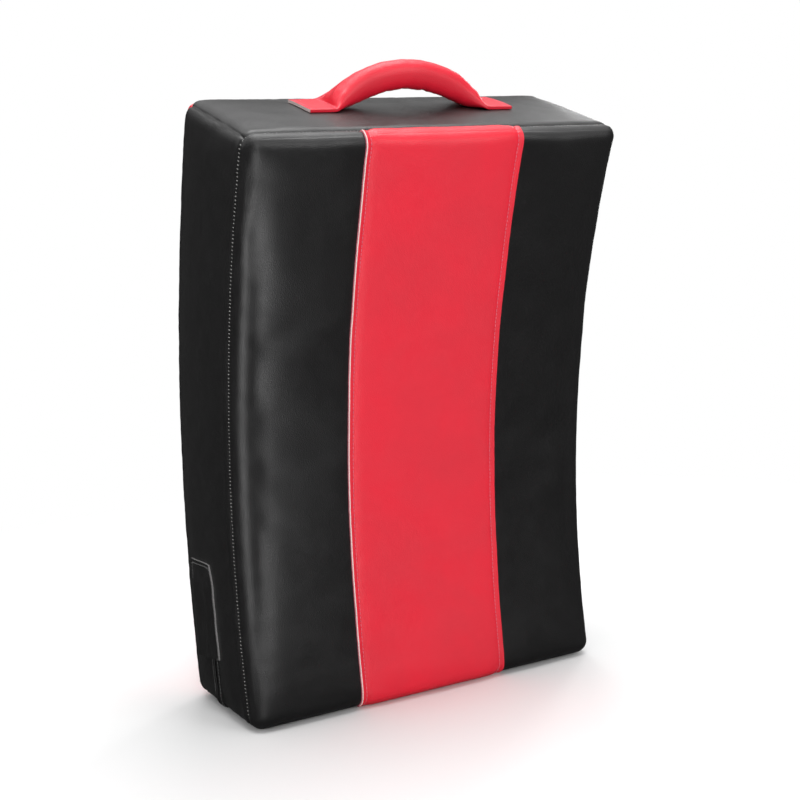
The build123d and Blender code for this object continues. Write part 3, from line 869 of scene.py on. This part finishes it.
class Strap:
    """Handle: a folded strap, sewn flat at both ends and rolled round foam between them."""

    def __init__(self, name, normal, across, length, thickness, tree, seed):
        joint = joints[name + "_swing"]
        normal, across = unit(normal), unit(across)
        self.name, self.seed = name, seed
        self.reach, self.pinch = length / 2, length / 2 - TAB
        self.thick = thickness / 2
        origin = np.array(joint["pos_m"]) - normal * HINGE_HEIGHT
        self.ground = Ground(tree, origin, unit(joint["axis"]), across, normal)
        self.mirrored = np.cross(self.ground.along, across) @ normal > 0
        half = graded(
            0, self.reach, 3.2 * MM,
            [(self.pinch, 0.8 * MM, 26 * MM), (self.reach, 1.0 * MM, 8 * MM)],
        )
        self.u = np.concatenate([-half[:0:-1], half])
        turn_share = np.linspace(0, 1, 27)
        edge = np.linspace(0, FLANGE, 5)[:-1]
        self.columns = np.concatenate([edge, FLANGE + ROLL * turn_share])
        self.outer, self.inner, self.across_flat = self.surfaces()

    def surfaces(self):
        """Outer and inner layer of the strap, and each point's place across the flat strap."""
        # section: a flat flange, then an oval roll that is fullest between the tabs
        u = self.u[:, None]
        share = np.clip((self.columns - FLANGE) / ROLL, 0, 1)[None]
        fullness = np.clip(1 - np.abs(u / self.pinch) ** 5, 0, 1) ** 0.6
        b = self.thick * fullness
        a = ROLL / 2 * (1 - ROUNDING_LOSS * (b * math.pi / ROLL) ** 1.68)
        width = FLANGE + 2 * a
        v = np.minimum(self.columns, FLANGE)[None] + a * (1 - np.cos(math.pi * share)) - width / 2
        v = v - (STRAP - width) * 0.08
        bulge = b * np.sin(math.pi * share) * np.sin(math.pi * share / 2) ** 0.35
        fold = LAYER * np.sqrt(np.clip(1 - np.clip((share - 0.93) / 0.07, 0, 1) ** 2, 0, 1))
        w = np.sqrt(fold**2 + bulge**2)

        # the strap lies on the cover at its tabs and arches up between them
        near = np.sign(u) * np.maximum(np.abs(u), self.pinch)
        ground = self.ground.height(u + 0 * v, v)
        at_tab = self.ground.height(near + 0 * v, v)
        ends = self.ground.height(np.array((-self.pinch, self.pinch)), np.zeros(2)).mean()
        settle = smoothstep(self.pinch - 30 * MM, self.pinch, np.abs(u))
        base = ends + (at_tab - ends) * settle
        raw = (RISE - LAYER) * (1 - (u / self.pinch) ** 2)
        soft = np.sqrt(raw**2 + (2.5 * MM) ** 2)
        rise = LAYER + (raw + soft) / 2
        slope = -(RISE - LAYER) * u / self.pinch**2 * (1 + raw / soft)
        tilt = np.arctan(slope)

        # both layers, the section square to the arch and never under the cover
        sheets = []
        for sign in (1, -1):
            out = sign * (w + self.creases(u, share, v, fullness, sign))
            height = base + rise + out * np.cos(tilt)
            floor = ground + 0.35 * MM
            over = height - floor
            height = floor + (over + np.sqrt(over**2 + (0.5 * MM) ** 2)) / 2
            sheets.append(self.ground.place(u - out * np.sin(tilt), v, height))
        return sheets[0], sheets[1], v

    def creases(self, u, share, v, fullness, sign):
        """Wrinkles across the inside of the bend, and small folds where the roll is gathered."""
        shape = np.broadcast_shapes(u.shape, share.shape, v.shape)
        spots = np.broadcast_arrays(u, share * ROLL, np.full(shape, sign * 20 * MM))
        spots = np.stack(spots, -1).reshape(-1, 3)
        across = smooth_noise(spots * (1, 0.35, 1), 6.5 * MM, self.seed).reshape(shape)
        broad = smooth_noise(spots, 22 * MM, self.seed + 4).reshape(shape)
        round_the_side = np.sin(math.pi * share) ** 0.5
        inside = 0.5 if sign > 0 else 1.0
        result = (1.1 * inside * across + 0.7 * broad) * MM * fullness * round_the_side
        gather = bell(np.abs(u) - self.pinch + 9 * MM, 6 * MM) * round_the_side
        fold = np.cos(2 * math.pi * v / (13 * MM) + self.seed + 2 * np.sign(u) + 4 * broad)
        return result + 0.7 * MM * fold * gather

    def attach(self, piece, u, *nodes):
        low, high = (self.ground.place(end, 0.0, 0.0) for end in (self.reach, 0.0))
        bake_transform(piece)
        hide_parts(*(f"{self.name}_{node}" for node in nodes))

    def outward(self, faces):
        """Faces turned to look out of the strap, whichever way round its axes are."""
        return [face[::-1] for face in faces] if self.mirrored else faces

    def cut_end(self, row, sign, ids, first):
        """Edges of both layers at one end of the strap, and the slit between them. ids is that end's
        loop of points; new points are numbered from first."""
        columns = self.outer.shape[1]
        centre = (self.outer[row] + self.inner[row]) / 2
        points, strips = [], [ids[:columns]]
        for offset, sink, lip in ((SLIT, 0, -1), (0, SLIT_DEPTH, -2), (-SLIT, 0, -3)):
            points.append(centre + self.ground.normal * offset + self.ground.along * sign * sink)
            line = np.arange(first, first + columns)
            line[0], line[-1] = ids[lip], ids[columns - 1]
            first += columns
            strips.append(line)
        strips.append(ids[2 * columns - 2 - np.arange(columns)])
        faces = []
        for low, high in zip(strips, strips[1:]):
            for k in range(columns - 1):
                corners = [low[k], low[k + 1], high[k + 1], high[k]][::sign]
                corners = [c for n, c in enumerate(corners) if c != corners[n - 1]]
                if len(corners) > 2:
                    faces.append(tuple(corners))
        return np.concatenate(points), faces

    def leather(self, tab_nodes):
        """The strap as one closed mesh, its cut edges showing two layers with a slit between."""
        rows, columns = self.outer.shape[:2]
        middle = (self.outer[:, 0] + self.inner[:, 0]) / 2
        lip_out, lip_in = (middle + self.ground.normal * place for place in (SLIT, -SLIT))
        recess = np.zeros((rows, 1))
        recess[0], recess[-1] = SLIT_DEPTH, -SLIT_DEPTH
        notch = middle + self.ground.across * SLIT_DEPTH + recess * self.ground.along
        slit = np.stack([lip_in, notch, lip_out], 1)
        loop = np.concatenate([self.outer, self.inner[:, -2::-1], slit], 1)
        size = loop.shape[1]
        points, u = [loop.reshape(-1, 3)], [np.repeat(self.u, size)]
        grid = np.arange(rows * size).reshape(rows, size)
        faces = tube_faces(rows, size)
        is_edge = np.zeros((rows - 1, size), int)
        is_edge[:, -4:] = 2
        slots = list(is_edge.reshape(-1))
        for row, sign in ((0, 1), (rows - 1, -1)):
            extra, cut = self.cut_end(row, sign, grid[row], rows * size + (row > 0) * 3 * columns)
            points.append(extra)
            u.append(np.full(len(extra), self.u[row]))
            faces += cut
            slots += [1] * len(cut)
        points, u = np.concatenate(points), np.concatenate(u)
        used = np.unique(np.concatenate([np.array(f) for f in faces]))
        remap = np.full(len(points), -1)
        remap[used] = np.arange(len(used))
        faces = self.outward([tuple(remap[list(f)]) for f in faces])
        piece = mesh_object(self.name + "_leather", points[used], faces, [RED, RAW, CUT_EDGE], slots)
        piece.data.set_sharp_from_angle(angle=math.radians(55))
        self.attach(piece, u[used], "sleeve", *tab_nodes)

    def foam(self):
        """The padding inside the roll."""
        rows = np.abs(self.u) < 0.86 * self.pinch
        share = (self.columns - FLANGE) / ROLL
        kept = (share > 0.12) & (share < 0.97)
        outer, inner = self.outer[rows][:, kept], self.inner[rows][:, kept]
        centre = (outer + inner) / 2
        gap = np.linalg.norm(outer - inner, axis=-1, keepdims=True) / 2
        shrink = np.clip(1 - 2.2 * MM / gap, 0.05, 1)
        outer = centre + (outer - centre) * shrink
        inner = centre + (inner - centre) * shrink
        loop = np.concatenate([outer, inner[:, ::-1]], 1)
        count, size = loop.shape[:2]
        faces = self.outward(tube_faces(count, size, capped=True))
        piece = mesh_object(self.name + "_foam", loop.reshape(-1, 3), faces, [DENSE_FOAM])
        self.attach(piece, np.repeat(self.u[rows], size), "padding")

    def row(self, u, v, pitch=4.0 * MM):
        """A stitch row on the outer layer along straight (u, v) stretches of the flat strap."""
        steps = max(2, int(np.hypot(u[1] - u[0], v[1] - v[0]) / MM))
        us, vs = np.linspace(*u, steps), np.linspace(*v, steps)
        i = np.interp(us, self.u, np.arange(len(self.u)))
        j = np.interp(vs, self.across_flat[0], np.arange(len(self.columns)))
        path = sample(self.outer, i, j)
        normals = sample(self.outer_normals, i, j)
        spots, ways, at = resample(path, pitch, pitch / 2)
        reach = arc_length(path)
        return (spots, ways, read_off(at, reach, normals), 3.2 * MM, 0.42 * MM), np.interp(at, reach, us)

    def stitching(self):
        du = np.gradient(self.outer, axis=0)
        dv = np.gradient(self.outer, axis=1)
        normals = np.cross(du, dv)
        if normals[len(self.u) // 2, len(self.columns) // 3] @ self.ground.normal < 0:
            normals = -normals
        self.outer_normals = normals / np.maximum(np.linalg.norm(normals, axis=-1, keepdims=True), 1e-12)
        inset = 2.6 * MM
        side = STRAP / 2 - inset
        rows, places = [], []
        lines = [((-self.pinch, self.pinch), (-side, -side))]
        for sign in (-1, 1):
            end, start = sign * (self.reach - inset), sign * (self.pinch + 1.5 * MM)
            lines += [((end, end), (-side, side)), ((start, start), (-side, side))]
            lines += [((start, end), (s * side, s * side)) for s in (-1, 1)]
        for u, v in lines:
            row, at = self.row(u, v)
            rows.append(row)
            places.append(np.repeat(at, STITCH_POINTS))
        piece = stitch_mesh(self.name + "_stitches", rows, RED_THREAD)
        self.attach(piece, np.concatenate(places), "stitching")


def handles(tree):
    angle = CROSS_PLACE / BACK_RADIUS
    up_back = turn((0, -math.sin(angle), math.cos(angle)))
    end_normal = turn((0, -math.sin(TILT), math.cos(TILT)))
    end_back = turn((0, math.cos(TILT), math.sin(TILT)))
    specs = (
        ("top_handle", end_normal, -end_back, 220 * MM, 31 * MM, ("tab_left", "tab_right")),
        ("cross_handle", turn((0, math.cos(angle), math.sin(angle))), up_back, 220 * MM, 23 * MM,
         ("tab_left", "tab_right")),
        ("left_handle", turn((0, 1, 0)), (-1, 0, 0), 204 * MM, 25 * MM, ("tab_lower", "tab_upper")),
        ("right_handle", turn((0, 1, 0)), (1, 0, 0), 204 * MM, 25 * MM, ("tab_lower", "tab_upper")),
    )
    for seed, (name, normal, across, length, thickness, tabs) in enumerate(specs):
        strap = Strap(name, normal, across, length, thickness, tree, seed + 11)
        strap.leather(tabs)
        strap.foam()
        strap.stitching()


# ---------------------------------------------------------------- zip
LIP = 3.0 * MM              # folded edges of the opening, from the zip's middle
PLACKET = 10.5 * MM         # outer edge of the folded border
POCKET = dict(start=-20 * MM, end=76 * MM, back=-37 * MM, front=21 * MM)
POCKET_RISE = 5.2 * MM


class ZipRun:
    """The zip's path over the cover: down one side, across the lower end and up the other."""

    def __init__(self, fine, points, normals):
        low, high = (line_index(fine.lines[2], place) for place in ZIP_OPENING)
        near = (self.course(fine, low), self.course(fine, high))
        middle = (points[near[0]] + points[near[1]]) / 2
        self.reach = arc_length(middle)
        self.middle = middle
        self.out = normals[near[0]] + normals[near[1]]
        self.out /= np.linalg.norm(self.out, axis=1, keepdims=True)
        self.length = self.reach[-1]

    def course(self, fine, k):
        down = np.nonzero(fine.lines[1] < ZIP_TOP + 1e-6)[0][::-1]
        left, right = fine.index[0, down, k], fine.index[-1, down[::-1], k]
        return np.concatenate([left, fine.index[1:-1, 0, k], right])

    def frame(self, at):
        """Places, with forward, outward and sideways directions; sideways is to the strike face."""
        steps = (0, 1.5 * MM, -1.5 * MM)
        spots, ahead, behind = (read_off(at + step, self.reach, self.middle) for step in steps)
        way = ahead - behind
        way /= np.linalg.norm(way, axis=1, keepdims=True)
        out = read_off(at, self.reach, self.out)
        out -= way * (out * way).sum(1, keepdims=True)
        out /= np.linalg.norm(out, axis=1, keepdims=True)
        return spots, way, out, np.cross(out, way)

    def strip(self, name, outline, at, materials, slot, stands_for=(), grow=None):
        """Closed strip: an outline of (sideways, outward) places carried along the zip."""
        spots, _, out, aside = self.frame(at)
        outline = np.asarray(outline)
        scale = np.ones(len(at)) if grow is None else grow
        rings = (
            spots[:, None]
            + aside[:, None] * outline[None, :, :1]
            + out[:, None] * (outline[None, :, 1:] * scale[:, None, None])
        )
        faces = tube_faces(len(at), len(outline), capped=True)
        if np.cross(outline[1] - outline[0], outline[2] - outline[1]) < 0:
            faces = [face[::-1] for face in faces]
        piece = mesh_object(name, rings.reshape(-1, 3), faces, materials)
        piece.data.set_sharp_from_angle(angle=math.radians(50))
        belongs(piece, stands_for)


def zip_pieces(run, thread_start):
    whole = np.append(np.arange(0, run.length, 2 * MM), run.length)
    ripple = 1 + 0.16 * np.sin(whole / (9 * MM)) + 0.1 * np.sin(whole / (3.7 * MM) + 1)
    taper = smoothstep(-2 * MM, 6 * MM, np.minimum(whole, run.length - whole))
    for name, side in (("front", 1), ("back", -1)):
        # (sideways, outward) places: the border's outer edge, its stitched groove, the folded lip
        border = [(PLACKET, -0.6), (PLACKET - 0.1 * MM, 0.7), (PLACKET - 1.2 * MM, 1.3)]
        groove = [(7.6 * MM, 1.0), (6.6 * MM, 1.35)]
        fold = [(4.4 * MM, 2.1), (3.5 * MM, 1.9), (LIP, 1.1), (LIP + 0.2 * MM, -0.4)]
        tuck = [(LIP + 0.7 * MM, -1.6), (5 * MM, -1.8)]
        outline = [(side * q, w * MM) for q, w in border + groove + fold + tuck]
        grow = ripple * (0.3 + 0.7 * taper)
        run.strip(f"zip_lip_{name}", outline, whole, [BLACK], "black_leather", grow=grow)
        tape = [(0.4, -2.35), (0.4, -1.85), (4.0, -1.8), (8.0, -2.2), (8.0, -2.7), (4.0, -2.3)]
        tape = [(side * q * MM, w * MM) for q, w in tape]
        run.strip(f"zip_tape_{name}_weave", tape, whole, [TAPE], "zip_tape", (f"zip_tape_{name}",))

    # coils: two rows of small hooks that meet in the middle
    for name, side in (("front", 1), ("back", -1)):
        at = np.arange(8 * MM + (0.65 * MM if side < 0 else 0), run.length - 8 * MM, 1.3 * MM)
        spots, way, out, aside = run.frame(at)
        row = (spots + aside * side * 1.15 * MM - out * 1.15 * MM, aside * side, out, 1.9 * MM, 0.46 * MM)
        stitched(f"zip_coil_{name}_teeth", [row], COIL, f"zip_coil_{name}")

    rows = []
    for side in (-1, 1):
        at = np.arange(thread_start, run.length - 3 * MM, 3.4 * MM)
        spots, way, out, aside = run.frame(at)
        rows.append((spots + aside * side * 7.1 * MM + out * 1.25 * MM, way, out, 2.7 * MM, 0.36 * MM))
    at = np.linspace(-5.5, 5.5, 9) * MM
    for end in (run.length - 2.5 * MM, run.length - 5.0 * MM):
        spots, way, out, aside = run.frame(np.full(len(at), end))
        rows.append((spots + aside * at[:, None] + out * 2.5 * MM, way, out, 2.4 * MM, 0.36 * MM))
    stitched("zip_stitches", rows, GREY_THREAD, "zip_thread")

    patch = [(-9.0, 0.2), (-8.6, 1.5), (-4.0, 2.4), (4.0, 2.4), (8.6, 1.5), (9.0, 0.2)]
    patch = [(q * MM, w * MM) for q, w in patch[::-1]]
    for name, low, high in (("left", 0.2, 8.0), ("right", run.length / MM - 8.0, run.length / MM - 0.2)):
        at = np.linspace(low, high, 6) * MM
        run.strip(f"zip_bar_{name}", patch, at, [BLACK], "black_leather")


def pocket(tree):
    """Leather pocket over the closed end: sewn on three sides, its lower edge standing open."""
    (y0, z0), (y1, z1) = zip_line()
    top = stand_up(np.array((-WIDTH / 2, y0, z0)))
    down = unit(turn((0, y1 - y0, z1 - z0)))
    forward = np.cross(np.array((-1.0, 0, 0)), down)
    forward = forward if forward[1] < 0 else -forward
    ground = Ground(tree, top, down, forward, np.array((-1.0, 0.0, 0.0)))
    us, vs = (
        graded(POCKET[low], POCKET[high], coarse, [(POCKET[end], 0.8 * MM, 8 * MM) for end in (low, high)])
        for low, high, coarse in (("start", "end", 2.6 * MM), ("back", "front", 2.4 * MM))
    )
    u, v = np.meshgrid(us, vs, indexing="ij")
    round_off = smoothstep(0, 9 * MM, u - POCKET["start"])
    middle = (POCKET["back"] + POCKET["front"]) / 2
    v = middle + (v - middle) * (0.96 + 0.04 * round_off)
    side = np.minimum(v - POCKET["back"], POCKET["front"] - v)
    closed = u - POCKET["start"]
    dome = smoothstep(4 * MM, 17 * MM, side) * smoothstep(4 * MM, 26 * MM, closed)
    opened = smoothstep(POCKET["end"] - 30 * MM, POCKET["end"], u)
    lift = POCKET_RISE * dome + 2.2 * MM * opened * smoothstep(2 * MM, 20 * MM, side)
    spots = np.stack([u, v, 0 * u], -1).reshape(-1, 3)
    wrinkle = smooth_noise(spots * (0.6, 1, 1), 15 * MM, 31).reshape(u.shape)
    lift = lift + 0.5 * MM * wrinkle * (0.3 + dome)
    lift = lift - 0.45 * MM * bell(np.minimum(side, closed) - 3 * MM, 1.6 * MM)
    base = np.maximum(ground.height(u, v), 0.0) + 0.25 * MM
    height = base + lift + LEATHER
    surface = ground.place(u, v, height)
    ids = np.arange(u.size).reshape(u.shape)
    quads = np.stack([ids[:-1, :-1], ids[1:, :-1], ids[1:, 1:], ids[:-1, 1:]], -1).reshape(-1, 4)
    points = surface.reshape(-1, 3)
    normals = vertex_normals(points, quads)
    if normals[len(normals) // 2][0] > 0:
        quads, normals = quads[:, ::-1], -normals
    piece = shell("zip_garage_leather", points, normals, quads, 0.0, [BLACK, GREY_EDGE])
    belongs(piece, ("zip_garage",))
    rows = []
    inset = 3.2 * MM
    j_low, j_high = (line_index(vs, place) for place in (POCKET["back"] + inset, POCKET["front"] - inset))
    i_top = line_index(us, POCKET["start"] + inset)
    for line in (ids[i_top:, j_low], ids[i_top:, j_high], ids[i_top, j_low : j_high + 1]):
        path = points[line]
        spots, ways, at = resample(path, 3.6 * MM, 1.5 * MM)
        rows.append((spots, ways, nearest_normals(normals, line, path, at), 2.9 * MM, 0.38 * MM))
    stitched("zip_garage_stitches", rows, GREY_THREAD, "garage_thread")


# ---------------------------------------------------------------- build
def fade_to_white(tree, shader):
    """The floor turns into the white background away from the shield. In reflections it is dark
    but for a bright patch at the front left, which the strike face's rounded edge picks up."""
    out = shader.outputs[0].links[0].to_node
    white = tree.nodes.new("ShaderNodeEmission")
    to_patch = tree.nodes.new("ShaderNodeVectorMath")
    to_patch.operation = "DISTANCE"
    tree.links.new(place_of(tree), to_patch.inputs[0])
    to_patch.inputs[1].default_value = (-0.42, -0.62, 0)
    patch = between(tree, to_patch.outputs["Value"], 0.1, 0.42, 5.0, 0.06)
    dark = add(tree, "ShaderNodeEmission", Strength=patch)
    length = tree.nodes.new("ShaderNodeVectorMath")
    length.operation = "LENGTH"
    tree.links.new(place_of(tree), length.inputs[0])
    share = between(tree, length.outputs["Value"], 0.45, 1.1, 0.0, 1.0)
    path = tree.nodes.new("ShaderNodeLightPath").outputs
    far = add(tree, "ShaderNodeMixShader", _0=share, _1=shader.outputs[0], _2=white.outputs[0])
    both = add(tree, "ShaderNodeMixShader", _0=path["Is Glossy Ray"], _1=far.outputs[0], _2=dark.outputs[0])
    tree.links.new(both.outputs[0], out.inputs[0])


def studio_floor():
    reach, level = 8.0, -1.2 * MM
    corners = [(x * reach, y * reach, level) for x, y in ((-1, -1), (1, -1), (1, 1), (-1, 1))]
    floor = mesh_object("studio_floor", corners, [(0, 1, 2, 3)])
    material, tree, shader = nodes_of("studio_floor")
    shader.inputs["Base Color"].default_value = (0.84, 0.84, 0.84, 1)
    shader.inputs["Roughness"].default_value = 0.8
    fade_to_white(tree, shader)
    floor.data.materials.append(material)


def studio_world():
    """White to the camera. Reflections see a bright ceiling and dark walls, so leather keeps its depth."""
    world = bpy.data.worlds.new("studio")
    bpy.context.scene.world = world
    world.use_nodes = True
    tree = world.node_tree
    path = tree.nodes.new("ShaderNodeLightPath").outputs
    direction = tree.nodes.new("ShaderNodeTexCoord").outputs["Generated"]
    rise = add(tree, "ShaderNodeSeparateXYZ", Vector=direction)
    ceiling = between(tree, rise.outputs[2], 0.42, 0.75, 0.05, 1.5)
    glow = math_node(tree, "MULTIPLY", path["Is Glossy Ray"], ceiling)
    glow = math_node(tree, "ADD", glow, math_node(tree, "MULTIPLY", path["Is Diffuse Ray"], 0.5))
    glow = math_node(tree, "ADD", glow, path["Is Camera Ray"])
    tree.links.new(glow, tree.nodes["Background"].inputs[1])
    tree.nodes["Background"].inputs[0].default_value = (1, 1, 1, 1)


def lamps():
    """Soft lamps: name, place, width, height and watts; all look at the shield's lower half."""
    target = Vector((0.0, 0.0, 0.3))
    specs = (
        ("overhead", (0.1, -0.2, 2.7), 2.0, 1.6, 52),
        ("front_strip", (-0.9, -2.7, 0.9), 0.35, 1.5, 20),
        ("front_fill", (1.2, -2.8, 1.4), 1.2, 1.0, 20),
        ("left_fill", (-2.8, 0.4, 1.4), 1.0, 1.0, 10),
        ("back_fill", (1.3, 2.8, 1.4), 1.2, 1.0, 27),
        ("right_strip", (2.0, 1.6, 1.0), 0.45, 1.6, 16),
    )
    for name, place, width, height, power in specs:
        light = bpy.data.lights.new(name, "AREA")
        light.shape = "RECTANGLE"
        light.size, light.size_y, light.energy = width, height, power
        lamp = bpy.data.objects.new(name, light)
        bpy.context.scene.collection.objects.link(lamp)
        lamp.visible_glossy = name != "back_fill"       # it would burn out the top's far edge
        lamp.location = place
        lamp.rotation_euler = (target - Vector(place)).to_track_quat("-Z", "Y").to_euler()


def camera():
    """Three-quarter view from the front left and a little above."""
    yaw, pitch, roll = math.radians(-29.06), math.radians(-15.27), math.radians(0.86)
    forward = np.array((-math.sin(yaw) * math.cos(pitch), math.cos(yaw) * math.cos(pitch), math.sin(pitch)))
    level = np.array((math.cos(yaw), math.sin(yaw), 0.0))
    above = np.cross(level, forward)
    right = math.cos(roll) * level + math.sin(roll) * above
    up = -math.sin(roll) * level + math.cos(roll) * above
    lens = bpy.data.cameras.new("camera")
    lens.sensor_width = 36
    lens.lens = 61.8
    lens.clip_start, lens.clip_end = 0.05, 50
    eye = bpy.data.objects.new("camera", lens)
    bpy.context.scene.collection.objects.link(eye)
    matrix = Matrix.Identity(4)
    axes = [turn(v) for v in (right, up, -forward)] + [stand_up(np.array((-0.6572, -1.1393, 0.3758)))]
    for column, axis in enumerate(axes):
        for row in range(3):
            matrix[row][column] = axis[row]
    eye.matrix_world = matrix
    bpy.context.scene.camera = eye


studio_floor()
studio_world()
lamps()
camera()
blank, offsets = puffed_offsets()
fine = fine_cover()
print("lattice", [len(line) for line in fine.lines], len(fine.quads), "quads")
cover_points, cover_normals = shape_cover(fine, refine(blank, offsets, fine))
cover_panels(fine, cover_points, cover_normals)
stripe_stitches(fine, cover_points, cover_normals)
seam_stitches(fine, cover_points, cover_normals)
surface = BVHTree.FromPolygons([Vector(p) for p in cover_points], [tuple(map(int, q)) for q in fine.quads])
handles(surface)
zip_run = ZipRun(fine, cover_points, cover_normals)
zip_pieces(zip_run, POCKET["end"] + 3 * MM)
pocket(surface)

for node, material in (
    ("strike_foam", DENSE_FOAM), ("core_foam", CORE_FOAM), ("back_foam", DENSE_FOAM),
    ("zip_end_stops", ENAMEL), ("zip_slider", ENAMEL), ("zip_pull", ENAMEL),
    ("top_handle_backing", WEBBING), ("cross_handle_backing", WEBBING),
    ("left_handle_backing", WEBBING), ("right_handle_backing", WEBBING),
):
    frame["nodes"][node].data.materials.clear()
    frame["nodes"][node].data.materials.append(material)

bpy.context.scene.view_settings.view_transform = "Standard"
